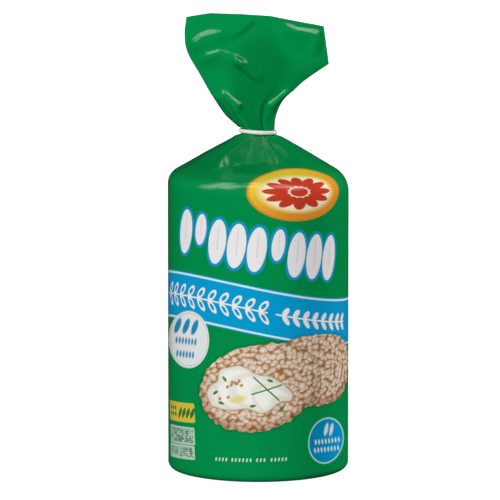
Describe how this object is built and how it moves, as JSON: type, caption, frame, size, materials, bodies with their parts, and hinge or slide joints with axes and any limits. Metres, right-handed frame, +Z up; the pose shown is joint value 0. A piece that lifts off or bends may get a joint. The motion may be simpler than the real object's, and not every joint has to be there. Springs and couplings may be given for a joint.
{
  "type": "tied film pack of puffed rice cakes",
  "caption": "Upright round film pack of puffed rice cakes, gathered at the neck, held by a white wire tie, with a flattened open fan of film above.",
  "frame": {"origin": "middle of the flat underside the pack stands on", "axes": "+Z up along the pack towards its tied neck, -Y towards the printed front, +X to the right as seen from the front"},
  "size_m": [0.1, 0.1008, 0.2545],
  "materials": {
    "film": "printed green film, soft gloss",
    "wire": "white plastic coating"
  },
  "bodies": {
    "root": {"bag": "film", "tie": "wire"}
  },
  "joints": []
}
